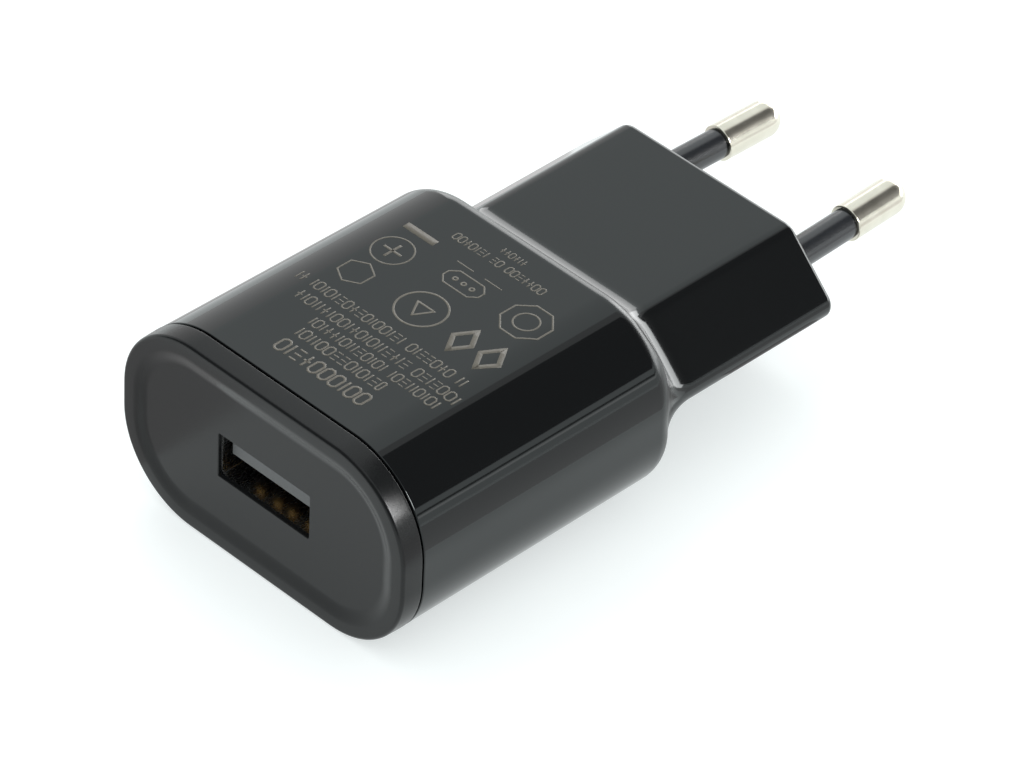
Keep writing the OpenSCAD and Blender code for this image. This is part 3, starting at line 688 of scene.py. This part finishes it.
def cap_finish():
    """Black plastic with a fine spark-eroded texture."""
    colour = (0.008, 0.0085, 0.009)
    return surface(
        "black_textured_plastic", colour, 0.22, specular=0.26, grain=0.13, bump=0.004, vary=0.12
    )


def pin_finish():
    """Plated brass: warm nickel with fine turning marks."""
    material, nodes = base_finish("plated_pin", 0.16, metallic=1.0)
    marks = nodes.noise(0.08, detail=2.0, stretch=(6, 1, 6))
    stains = nodes.noise(1.8, detail=3.0)
    nickel = nodes.mix(nodes.spread(stains, 0, 1), (0.66, 0.63, 0.54), (0.72, 0.69, 0.60))
    nodes.feed("Base Color", nickel)
    nodes.feed("Roughness", nodes.spread(stains, 0.17, 0.19))
    nodes.feed("Normal", nodes.bump(marks, 0.0006))
    return material


def board_finish():
    """Green solder mask over faint copper areas."""
    material, nodes = base_finish("solder_mask", 0.32)
    area_size = 3.5
    copper = nodes.tree.nodes.new("ShaderNodeTexVoronoi")
    copper.feature = "DISTANCE_TO_EDGE"
    copper.inputs["Scale"].default_value = 1 / (area_size * MM)
    nodes.link(nodes.place, copper.inputs["Vector"])
    inside = nodes.map_range(copper.outputs["Distance"], (0.06, 0.08))
    nodes.feed("Base Color", nodes.mix(inside, (0.01, 0.06, 0.025), (0.02, 0.13, 0.05)))
    nodes.feed("Normal", nodes.bump(inside, 0.03))
    return material


def steel(name):
    """Bright sheet steel with faint rolling marks."""
    return surface(name, (0.42, 0.42, 0.41), 0.26, metallic=1.0, grain=0.25, bump=0.001, stretch=(1, 4, 1))


def aluminium(name):
    """Drawn aluminium, with marks that run up the can."""
    return surface(name, (0.78, 0.79, 0.80), 0.24, metallic=1.0, grain=0.3, bump=0.002, stretch=(1, 1, 5))


def can_sleeve(name, grain):
    """Dark shrink sleeve of a capacitor."""
    return surface(name, (0.02, 0.024, 0.032), 0.3, grain=grain, bump=0.003)


def solder(name):
    return surface(name, (0.72, 0.73, 0.75), 0.3, metallic=1.0, grain=0.35, bump=0.03, vary=0.2)


TINNED = surface("tinned_copper", (0.70, 0.71, 0.73), 0.25, metallic=1.0, grain=0.3, bump=0.004)
CHIP = surface("moulded_epoxy", (0.018, 0.018, 0.019), 0.55, grain=0.12, bump=0.006, vary=0.3)
FERRITE = surface("sintered_ferrite", (0.045, 0.045, 0.048), 0.5, grain=0.2, bump=0.01, vary=0.35)
COPPER_WIRE = wound("enamelled_copper", (0.62, 0.26, 0.10), 0.28, 0.85, 0.25, "Y", 0.05)

# The CAD nodes that are shown as they are
NODE_FINISHES = {
    "mains_lead_left": surface("red_wire_sleeve", (0.22, 0.02, 0.015), 0.42, grain=0.5, bump=0.004),
    "mains_lead_right": surface("blue_wire_sleeve", (0.02, 0.05, 0.22), 0.42, grain=0.5, bump=0.004),
    "usb_shell": steel("usb_steel"),
    "usb_insulator": surface("socket_plastic", (0.075, 0.078, 0.080), 0.38, grain=0.2, bump=0.002),
    "usb_contacts": surface("gold_plate", (0.45, 0.28, 0.10), 0.3, metallic=1.0, grain=0.2, bump=0.001),
    "circuit_board": board_finish(),
    "transformer_core_front": FERRITE,
    "transformer_core_rear": FERRITE,
    "transformer_bobbin": surface("bobbin_resin", (0.02, 0.02, 0.022), 0.45, grain=0.3, bump=0.004),
    "primary_winding": COPPER_WIRE,
    "secondary_winding": wound("insulated_turns", (0.62, 0.50, 0.24), 0.4, 0.0, 0.6, "Y", 0.12),
    "transformer_tape": surface(
        "yellow_tape", (0.72, 0.50, 0.06), 0.3, grain=1.2, bump=0.01, stretch=(1, 3, 1)
    ),
    "transformer_pins": TINNED,
    "bulk_capacitor_left": can_sleeve("can_sleeve", 0.6),
    "bulk_capacitor_right": can_sleeve("can_sleeve_second", 0.7),
    "bulk_capacitor_bungs": surface("bung_rubber", (0.012, 0.012, 0.013), 0.7, grain=0.2, bump=0.01),
    "bulk_capacitor_leads": TINNED,
    "output_capacitors": aluminium("aluminium_can"),
    "output_capacitor_bases": surface("can_base", (0.03, 0.03, 0.033), 0.6, grain=0.2, bump=0.006),
    "input_choke_core": surface("drum_ferrite", (0.06, 0.06, 0.065), 0.45, grain=0.2, bump=0.008, vary=0.3),
    "input_choke_winding": COPPER_WIRE,
    "fuse_body": surface("ceramic_tube", (0.55, 0.44, 0.28), 0.35, grain=0.3, bump=0.004),
    "fuse_caps": TINNED,
    "y_capacitor": surface("blue_epoxy_dip", (0.02, 0.13, 0.42), 0.28, grain=0.9, bump=0.02, vary=0.2),
    "y_capacitor_leads": TINNED,
    "bridge_rectifier": CHIP,
    "primary_controller": CHIP,
    "output_rectifier": CHIP,
    "protocol_chip": CHIP,
    "optocoupler": surface("white_package", (0.70, 0.68, 0.62), 0.5, grain=0.15, bump=0.004),
    "chip_legs": TINNED,
    "chip_resistors": surface("resistor_glaze", (0.02, 0.02, 0.023), 0.25, grain=0.2, bump=0.003),
    "chip_capacitors": surface(
        "capacitor_ceramic", (0.42, 0.26, 0.12), 0.4, grain=0.1, bump=0.003, vary=0.25
    ),
    "solder_joints": solder("solder"),
    "insulation_barrier": surface(
        "barrier_card", (0.62, 0.58, 0.44), 0.7, grain=0.3, bump=0.01, stretch=(3, 1, 1)
    ),
}

# Radius of the small rounds on the hard edges of CAD nodes
EDGE_ROUNDS = {
    "usb_shell": 0.1,
    "usb_insulator": 0.12,
    "usb_contacts": 0.05,
    "circuit_board": 0.05,
    "transformer_core_front": 0.25,
    "transformer_core_rear": 0.25,
    "transformer_bobbin": 0.1,
    "bridge_rectifier": 0.12,
    "primary_controller": 0.12,
    "output_rectifier": 0.12,
    "protocol_chip": 0.1,
    "optocoupler": 0.12,
    "chip_resistors": 0.05,
    "chip_capacitors": 0.05,
    "insulation_barrier": 0.05,
    "fuse_caps": 0.12,
    "chip_legs": 0.03,
}


WELD_REACH = 0.0005
ROUND_STEPS = 3
ROUNDED_ANGLE = math.radians(35)


def dress_cad_node(name):
    """Gives a CAD node that is shown as it is its finish and, where it has hard edges, small rounds."""
    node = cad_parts[name]
    node.data.materials.clear()
    node.data.materials.append(NODE_FINISHES[name])
    weld = node.modifiers.new("one_skin", "WELD")
    weld.merge_threshold = WELD_REACH * MM
    if name in EDGE_ROUNDS:
        edge = node.modifiers.new("small_rounds", "BEVEL")
        edge.width = EDGE_ROUNDS[name] * MM
        edge.segments = ROUND_STEPS
        edge.limit_method = "ANGLE"
        edge.angle_limit = ROUNDED_ANGLE
    add_weighted_normals(node)


# ---------------------------------------------------------------- print on the block's top

PRINT_RISE = 0.012
PRINT_T = 0.03
LINE_STEP = 0.35
MARK_LINE = 0.18
SHARPEST_MITRE = 0.6

# Rows that stand for lines of small print: from x, to x, from y, to y, line width and whether it has gaps.
# Here y is the distance from the cap's panel.
PRINT_ROWS = [
    (-5.0, 7.8, 5.55, 7.4, 0.26, False),
    (-5.1, 6.5, 8.4, 9.8, 0.19, True),
    (-6.1, 12.8, 10.5, 11.8, 0.17, True),
    (-9.5, 12.8, 12.45, 13.8, 0.17, True),
    (-12.4, 12.8, 14.7, 16.0, 0.17, True),
    (-6.0, 6.5, 30.3, 31.35, 0.15, True),
    (-1.3, 2.1, 32.2, 33.1, 0.13, False),
]

# Width of each kind of sign in a row, and the space after it, as shares of the row's height
SIGN_WIDTHS = {"box": 0.55, "stroke": 0.22, "steps": 0.5, "dash": 0.45, "gap": 0.3}
SIGN_SPACE = 0.2


def top_height(x, y):
    """Height of the block's top surface at x, y."""
    past_flat = max(0.0, abs(x) - (HALF_W - BLOCK_GAP - CASE_R))
    return block_top(y) - CASE_R + math.sqrt(max(0.0, CASE_R**2 - past_flat**2))


def resampled(points, closed):
    """Points no further apart than the step, with the given corners kept."""
    pairs = list(zip(points, points[1:] + points[:1])) if closed else list(zip(points, points[1:]))
    made = []
    for start, end in pairs:
        start, end = Vector(start), Vector(end)
        steps = max(1, math.ceil((end - start).length / LINE_STEP))
        made += [start.lerp(end, i / steps) for i in range(steps)]
    return made if closed else made + [Vector(points[-1])]


class Print:
    """Lines of printed ink, each a thin ribbon that follows the block's top."""

    def __init__(self, front_y):
        self.bm = bmesh.new()
        self.front_y = front_y

    def line(self, points, width, closed=False):
        """A ribbon of that width along the points, mitred at its corners."""
        path = resampled([tuple(p) for p in points], closed)
        count = len(path)
        edges = []
        for i, point in enumerate(path):
            before = path[(i - 1) % count] if closed or i > 0 else point
            after = path[(i + 1) % count] if closed or i < count - 1 else point
            arriving = (point - before).normalized() if point != before else (after - point).normalized()
            leaving = (after - point).normalized() if after != point else arriving
            along = (arriving + leaving).normalized()
            side = Vector((-along.y, along.x))
            stretch = 1 / max(SHARPEST_MITRE, along.dot(arriving))
            edges.append([point + side * width / 2 * stretch * s for s in (-1, 1)])
        pairs = [[self.vertex(p) for p in pair] for pair in edges]
        last = count if closed else count - 1
        for i in range(last):
            a, b = pairs[i], pairs[(i + 1) % count]
            self.bm.faces.new((a[0], a[1], b[1], b[0]))

    def vertex(self, point):
        """A vertex just above the block's top."""
        y = self.front_y + point.y
        return self.bm.verts.new(Vector((point.x, y, top_height(point.x, y) + PRINT_RISE)) * MM)

    def polygon(self, centre, radius, corners, width, turn=0.0, squash=1.0):
        """A closed outline with equal sides around a centre. Many corners make a ring."""
        points = []
        for i in range(corners):
            a = math.radians(turn) + 2 * math.pi * i / corners
            points.append((centre[0] + radius * math.cos(a) * squash, centre[1] + radius * math.sin(a)))
        self.line(points, width, closed=True)

    def rounded_box(self, low, high, width, corner=0.3):
        """A closed box outline with cut corners."""
        x0, y0 = low
        x1, y1 = high
        c = min(corner, (x1 - x0) / 3, (y1 - y0) / 3)
        points = [(x0 + c, y0), (x1 - c, y0), (x1, y0 + c), (x1, y1 - c)]
        points += [(x1 - c, y1), (x0 + c, y1), (x0, y1 - c), (x0, y0 + c)]
        self.line(points, width, closed=True)

    def row(self, x0, x1, y0, y1, width, gaps, dice):
        """A row of plain boxes, strokes and dashes from x0 to x1 that stands for a line of small print."""
        height = y1 - y0
        middle = (y0 + y1) / 2
        kinds = ("box", "stroke", "box", "steps", "stroke", "dash", "gap" if gaps else "box")
        x = x0
        while x < x1 - height * SIGN_WIDTHS["gap"]:
            kind = dice.choice(kinds)
            cell = min(height * SIGN_WIDTHS[kind], x1 - x)
            if kind == "box":
                self.rounded_box((x, y0), (x + cell, y1), width, corner=height * 0.16)
            elif kind == "stroke":
                self.line([(x + cell / 2, y0), (x + cell / 2, y1)], width)
            elif kind == "steps":
                for level in (y0 + width / 2, middle, y1 - width / 2):
                    self.line([(x, level), (x + cell, level)], width * 0.8)
            elif kind == "dash":
                self.line([(x, middle), (x + cell, middle)], width)
                self.line([(x + cell / 2, y0), (x + cell / 2, y1)], width)
            x += cell + height * SIGN_SPACE

    def build(self):
        """The printed lines as one object with a little thickness."""
        piece = finish_mesh(self.bm, "top_print", weighted=False)
        thick = piece.modifiers.new("ink_thickness", "SOLIDIFY")
        thick.thickness = PRINT_T * MM
        thick.offset = -1
        return piece


def print_marks(ink):
    """Simple outlines in the places of the marks between the rows."""
    disc = (0.3, 20.2)
    ink.polygon(disc, 2.7, 48, 0.24)
    ink.polygon(disc, 1.3, 3, 0.24, turn=-90)
    for x in (6.4, 10.1):
        ink.polygon((x, 19.8), 2.0, 4, 0.55, turn=90, squash=0.62)
    ink.polygon((-8.1, 19.5), 1.9, 6, MARK_LINE, turn=30)
    plus_x, plus_y, plus_arm = -8.2, 24.5, 1.2
    ink.polygon((plus_x, plus_y), 2.2, 32, MARK_LINE)
    ink.line([(plus_x - plus_arm, plus_y), (plus_x + plus_arm, plus_y)], 0.3)
    ink.line([(plus_x, plus_y - plus_arm), (plus_x, plus_y + plus_arm)], 0.3)
    ink.rounded_box((-2.3, 24.8), (2.6, 27.2), MARK_LINE, corner=0.9)
    for x in (-1.0, 0.15, 1.3):
        ink.polygon((x, 26.0), 0.25, 10, 0.2)
    for start, end in ((-2.9, -0.6), (0.9, 3.3)):
        ink.line([(start, 28.1), (end, 28.1)], 0.14)
    octagon = (8.4, 26.4)
    ink.polygon(octagon, 2.75, 8, 0.2, turn=22.5)
    ink.polygon(octagon, 1.35, 24, 0.2)
    ink.line([(-10.4, 28.4), (-6.2, 28.4)], 0.95)


def build_print():
    """Generic print: rows of plain shapes and simple outlines where small print and marks would be."""
    ink = Print(PANEL_Y)
    dice = random.Random(7)
    for row in PRINT_ROWS:
        ink.row(*row, dice)
    print_marks(ink)
    return ink.build()


# ---------------------------------------------------------------- studio


def direction(azimuth, elevation):
    """A direction from the object. Azimuth turns from +Y towards +X, and elevation is above the horizon."""
    a, e = math.radians(azimuth), math.radians(elevation)
    return Vector((math.sin(a) * math.cos(e), math.cos(a) * math.cos(e), math.sin(e)))


CARD_DISTANCE_M = 1.6
CARD_STEPS = 24
FLOOR_CARD_Z = 0.05
FLOOR_HALF_M = 3.0
FLOOR_STEPS = 12


def emission(name, strength):
    """A white glow."""
    material = bpy.data.materials.new(name)
    material.use_nodes = True
    tree = material.node_tree
    tree.nodes.clear()
    light = tree.nodes.new("ShaderNodeEmission")
    light.inputs["Color"].default_value = (1, 1, 1, 1)
    light.inputs["Strength"].default_value = strength
    output = tree.nodes.new("ShaderNodeOutputMaterial")
    tree.links.new(light.outputs["Emission"], output.inputs["Surface"])
    return material


def reflected_only(bm, name, strength):
    """Makes a glowing stage object from bm that shows in reflections only."""
    mesh = bpy.data.meshes.new(name)
    bm.to_mesh(mesh)
    bm.free()
    piece = bpy.data.objects.new(name, mesh)
    bpy.context.scene.collection.objects.link(piece)
    piece.data.materials.append(emission(name + "_light", strength))
    piece.visible_camera = False
    piece.visible_diffuse = False
    piece.visible_shadow = False


def floor_card(name, low, high, strength):
    """A rectangle just above the floor, between two corners in X and Y."""
    bm = bmesh.new()
    corners = [(low[0], low[1]), (high[0], low[1]), (high[0], high[1]), (low[0], high[1])]
    bm.faces.new([bm.verts.new(Vector((x, y, FLOOR_CARD_Z)) * MM) for x, y in corners])
    reflected_only(bm, name, strength)


def card(name, azimuths, elevations, strength, distance_m=CARD_DISTANCE_M):
    """A card around the object, curved like a piece of a sphere."""
    bm = bmesh.new()
    rows = []
    for elevation in np.linspace(*elevations, CARD_STEPS + 1):
        columns = np.linspace(*azimuths, CARD_STEPS + 1)
        rows.append([bm.verts.new(direction(azimuth, elevation) * distance_m) for azimuth in columns])
    for lower, upper in zip(rows, rows[1:]):
        for j in range(CARD_STEPS):
            bm.faces.new((lower[j], lower[j + 1], upper[j + 1], upper[j]))
    reflected_only(bm, name, strength)


def add_key_light():
    """A soft disc at the rear left that casts the shadow and doesn't show in reflections."""
    light = bpy.data.lights.new("key", "AREA")
    light.shape = "DISK"
    light.size = 0.7
    light.energy = 3.0
    lamp = bpy.data.objects.new("key", light)
    bpy.context.scene.collection.objects.link(lamp)
    distance_m = 1.4
    lamp.location = direction(-60, 50) * distance_m
    lamp.rotation_euler = lamp.location.to_track_quat("Z", "Y").to_euler()
    lamp.visible_camera = False
    lamp.visible_glossy = False


def build_floor():
    """A pale floor that also glows a little, which keeps the shadow soft."""
    bm = bmesh.new()
    bmesh.ops.create_grid(bm, x_segments=FLOOR_STEPS, y_segments=FLOOR_STEPS, size=FLOOR_HALF_M)
    mesh = bpy.data.meshes.new("floor")
    bm.to_mesh(mesh)
    bm.free()
    floor = bpy.data.objects.new("floor", mesh)
    bpy.context.scene.collection.objects.link(floor)
    material, nodes = base_finish("pale_floor", 0.6, specular=0.1)
    paper = nodes.noise(6.0)
    nodes.feed("Base Color", nodes.mix(paper, (0.56, 0.57, 0.57), (0.58, 0.59, 0.59)))
    nodes.set_input("Emission Color", (0.96, 1.0, 1.0, 1))
    nodes.set_input("Emission Strength", 0.56)
    floor.data.materials.append(material)


def build_world(strength):
    world = bpy.data.worlds.new("studio")
    world.use_nodes = True
    background = world.node_tree.nodes["Background"]
    background.inputs["Color"].default_value = (0.95, 1.0, 1.0, 1)
    background.inputs["Strength"].default_value = strength
    bpy.context.scene.world = world


# The camera that was fitted to the photo's edges
CAMERA_AIM = (0.07, -6.2, 5.61)
CAMERA_DISTANCE = 658.83
CAMERA_LOOK = (-43.6817, -39.0041)  # azimuth and elevation in degrees
CAMERA_ROLL = 2.8343  # degrees
CAMERA_LENS = 234.44


def build_camera():
    """A long lens from the front right, above the object and rolled slightly."""
    look = direction(*CAMERA_LOOK)
    roll = math.radians(CAMERA_ROLL)
    level_right = look.cross(Vector((0, 0, 1))).normalized()
    level_up = level_right.cross(look)
    right = level_right * math.cos(roll) + level_up * math.sin(roll)
    up = level_up * math.cos(roll) - level_right * math.sin(roll)
    data = bpy.data.cameras.new("camera")
    data.lens = CAMERA_LENS
    data.sensor_width = 36
    data.clip_start = 0.01
    data.clip_end = 20
    camera = bpy.data.objects.new("camera", data)
    bpy.context.scene.collection.objects.link(camera)
    axes = Matrix((right, up, -look)).transposed().to_4x4()
    eye = (Vector(CAMERA_AIM) - look * CAMERA_DISTANCE) * MM
    camera.matrix_world = Matrix.Translation(eye) @ axes
    bpy.context.scene.camera = camera


def add_cards():
    """Cards that draw the reflections in the photo. Azimuths and elevations are in degrees."""
    # The dark band along the block's rounded top edge, with a softer edge towards the flat top
    card("dark_card", (2, 58), (15.5, 64), 0.12)
    card("dark_edge", (-9, 2), (15.5, 64), 0.66)
    # The pair of lines below that band
    card("dark_strip", (35, 80), (8.6, 10.4), 0.2)
    card("bright_strip", (35, 80), (5.9, 7.7), 1.9)
    # The silver band along the step, on top and around its right corner
    card("rear_glow", (-48, -24), (0, 25), 3.4, distance_m=1.7)
    card("corner_glow", (-24, 34), (0, 25), 7.0, distance_m=1.75)
    # A pale card at the left, a small bright one at the right and a dark one in front
    card("left_card", (-80, -48), (-1, 32), 1.1)
    card("right_softbox", (60, 80), (20, 40), 26.0)
    card("front_dark", (100, 250), (3, 65), 0.1)
    # The floor as it shows in the lower sides
    floor_card("neck_shade", (8, 14), (24, 27), 0.5)
    floor_card("left_floor", (-60, -60), (-20, 32), 0.78)
    floor_card("right_floor", (40, -60), (300, 300), 0.92)


def build_studio():
    build_world(1.1)
    build_floor()
    add_cards()
    add_key_light()
    view = bpy.context.scene.view_settings
    view.view_transform = "Standard"
    view.look = "None"
    build_camera()


# ---------------------------------------------------------------- the object

place(build_main_shell(), "main_shell", shell_finish(), "main_shell")
place(build_front_cap(), "front_cap", cap_finish(), "front_cap")

plated = pin_finish()
sleeve_plastic = surface("sleeve_plastic", (0.014, 0.016, 0.02), 0.2, specular=0.8, grain=0.15, bump=0.004)
for side, word in SIDES.items():
    pin = build_turned(f"pin_{word}_metal", side, pin_profile(), closed=False)
    place(pin, f"pin_{word}", plated, f"pin_{word}")
    sleeve = build_turned(f"pin_sleeve_{word}_moulding", side, sleeve_profile(), closed=True)
    place(sleeve, f"pin_sleeve_{word}", sleeve_plastic, f"pin_sleeve_{word}")

for node_name in NODE_FINISHES:
    dress_cad_node(node_name)

top_print = build_print()
top_print.data.materials.append(
    surface("grey_ink", (0.125, 0.112, 0.092), 0.5, specular=0.3, grain=0.15, bump=0.002, vary=0.2)
)
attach(top_print, "root")

build_studio()
